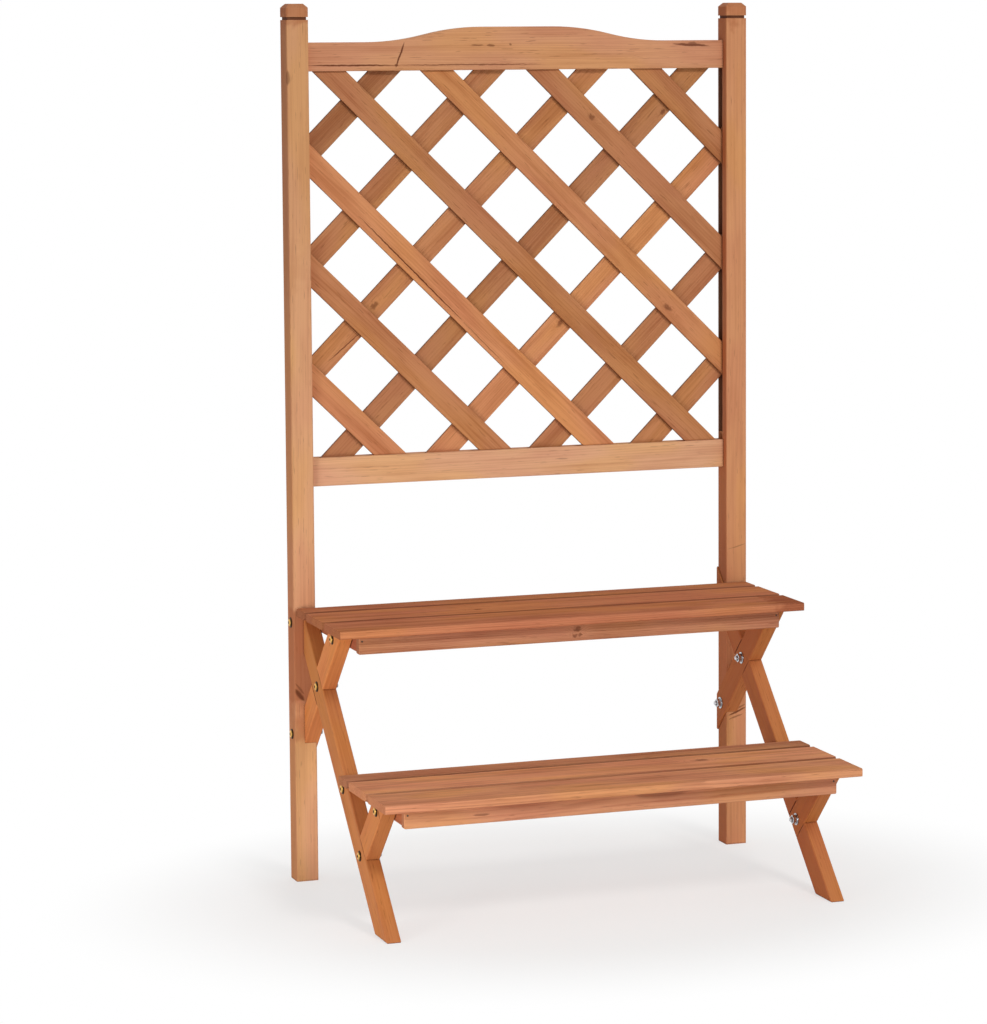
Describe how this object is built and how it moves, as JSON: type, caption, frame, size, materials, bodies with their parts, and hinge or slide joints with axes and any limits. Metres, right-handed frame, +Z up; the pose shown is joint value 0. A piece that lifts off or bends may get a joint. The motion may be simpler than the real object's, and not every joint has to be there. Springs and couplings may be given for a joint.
{
  "type": "plant stand with trellis",
  "caption": "Free-standing wooden plant stand: stepped slatted shelves on crossed legs, with a diagonal lattice trellis between posts and a curved top rail for climbing plants.",
  "frame": {"origin": "on the floor, under the middle of the stand", "axes": "+X to the right seen from the front, +Y to the back where the trellis stands, +Z up"},
  "size_m": [0.616, 0.4, 1.095],
  "materials": {
    "post_wood": "reddish-brown stain, matt",
    "rail_wood": "reddish-brown stain, matt",
    "slat_wood": "reddish-brown stain, matt",
    "leg_wood": "reddish-brown stain, matt",
    "shelf_wood": "reddish-brown stain, matt",
    "bearer_wood": "reddish-brown stain, matt",
    "dowel_wood": "plain beech",
    "bolt_metal": "yellow zinc plating",
    "nut_metal": "bright zinc plating",
    "screw_metal": "zinc plating"
  },
  "bodies": {
    "root": {"left_post": "post_wood", "right_post": "post_wood", "top_rail": "rail_wood", "bottom_rail": "rail_wood", "front_slat_1": "slat_wood", "front_slat_2": "slat_wood", "front_slat_3": "slat_wood", "front_slat_4": "slat_wood", "front_slat_5": "slat_wood", "front_slat_6": "slat_wood", "front_slat_7": "slat_wood", "back_slat_1": "slat_wood", "back_slat_2": "slat_wood", "back_slat_3": "slat_wood", "back_slat_4": "slat_wood", "back_slat_5": "slat_wood", "back_slat_6": "slat_wood", "back_slat_7": "slat_wood", "left_leg": "leg_wood", "right_leg": "leg_wood", "left_upper_brace": "leg_wood", "right_upper_brace": "leg_wood", "left_lower_brace": "leg_wood", "right_lower_brace": "leg_wood", "upper_shelf_rear_board": "shelf_wood", "upper_shelf_middle_board": "shelf_wood", "upper_shelf_front_board": "shelf_wood", "lower_shelf_rear_board": "shelf_wood", "lower_shelf_middle_board": "shelf_wood", "lower_shelf_front_board": "shelf_wood", "upper_apron": "bearer_wood", "lower_apron": "bearer_wood", "left_upper_batten": "bearer_wood", "right_upper_batten": "bearer_wood", "left_lower_batten": "bearer_wood", "right_lower_batten": "bearer_wood", "rail_dowels": "dowel_wood", "post_shelf_bolts": "bolt_metal", "post_brace_bolts": "bolt_metal", "lap_bolts": "bolt_metal", "shelf_bolts": "bolt_metal", "washers": "nut_metal", "nuts": "nut_metal", "board_screws": "screw_metal", "apron_nails": "screw_metal"}
  },
  "joints": []
}
